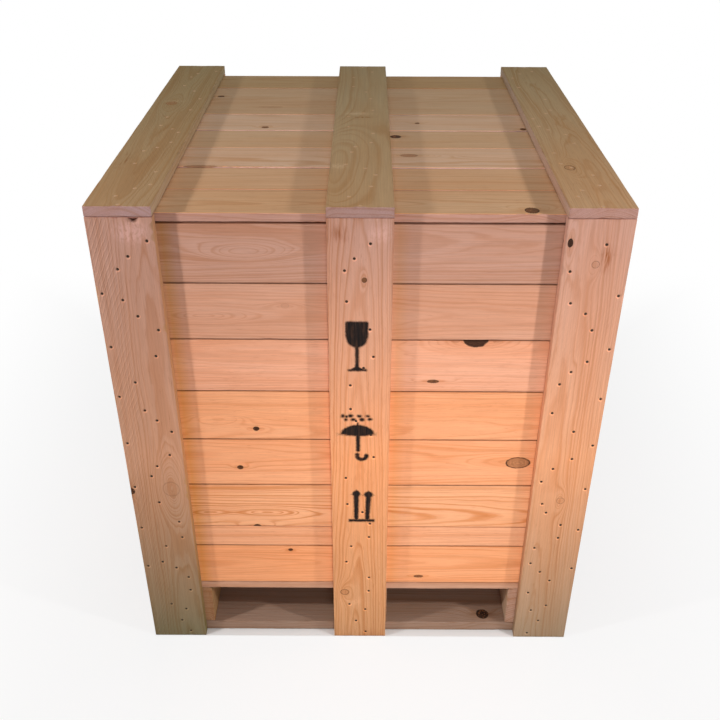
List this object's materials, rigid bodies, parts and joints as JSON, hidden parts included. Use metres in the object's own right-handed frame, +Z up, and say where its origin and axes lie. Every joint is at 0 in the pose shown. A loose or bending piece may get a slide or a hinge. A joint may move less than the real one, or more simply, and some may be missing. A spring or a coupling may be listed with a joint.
{
  "type": "wooden crate",
  "caption": "Nailed pine shipping crate with battened walls, a block base open to forks on all sides, and a battened lid that lifts off.",
  "frame": {"origin": "centre of the crate's footprint on the surface it stands on", "axes": "+Z up, -Y towards the front face with the handling symbols, +X to the right seen from the front"},
  "size_m": [0.762, 0.762, 0.851],
  "materials": {
    "wall_pine": "sawn pine, warm, with knots",
    "batten_pine": "rough-sawn pine, paler",
    "lid_pine": "sawn pine",
    "base_pine": "rough-sawn pine",
    "nail_steel": "dark, slightly rusted"
  },
  "bodies": {
    "crate": {"front_board_1": "wall_pine", "front_board_2": "wall_pine", "front_board_3": "wall_pine", "front_board_4": "wall_pine", "front_board_5": "wall_pine", "front_board_6": "wall_pine", "front_board_7": "wall_pine", "front_board_8": "wall_pine", "right_board_1": "wall_pine", "right_board_2": "wall_pine", "right_board_3": "wall_pine", "right_board_4": "wall_pine", "right_board_5": "wall_pine", "right_board_6": "wall_pine", "right_board_7": "wall_pine", "right_board_8": "wall_pine", "back_board_1": "wall_pine", "back_board_2": "wall_pine", "back_board_3": "wall_pine", "back_board_4": "wall_pine", "back_board_5": "wall_pine", "back_board_6": "wall_pine", "back_board_7": "wall_pine", "back_board_8": "wall_pine", "left_board_1": "wall_pine", "left_board_2": "wall_pine", "left_board_3": "wall_pine", "left_board_4": "wall_pine", "left_board_5": "wall_pine", "left_board_6": "wall_pine", "left_board_7": "wall_pine", "left_board_8": "wall_pine", "front_batten_left": "batten_pine", "front_batten_middle": "batten_pine", "front_batten_right": "batten_pine", "right_batten_front": "batten_pine", "right_batten_middle": "batten_pine", "right_batten_back": "batten_pine", "back_batten_left": "batten_pine", "back_batten_middle": "batten_pine", "back_batten_right": "batten_pine", "left_batten_front": "batten_pine", "left_batten_middle": "batten_pine", "left_batten_back": "batten_pine", "bottom_boards": "base_pine", "base_blocks": "base_pine", "base_stringers": "base_pine", "floor_boards": "wall_pine", "crate_nails": "nail_steel"},
    "lid": {"lid_board_1": "lid_pine", "lid_board_2": "lid_pine", "lid_board_3": "lid_pine", "lid_board_4": "lid_pine", "lid_board_5": "lid_pine", "lid_board_6": "lid_pine", "lid_board_7": "lid_pine", "lid_batten_left": "batten_pine", "lid_batten_middle": "batten_pine", "lid_batten_right": "batten_pine", "lid_nails": "nail_steel"}
  },
  "joints": [
    {"name": "lid_lift", "type": "slide", "parent": "crate", "child": "lid", "axis": [0, 0, 1], "range_m": [0, 0.4]}
  ]
}
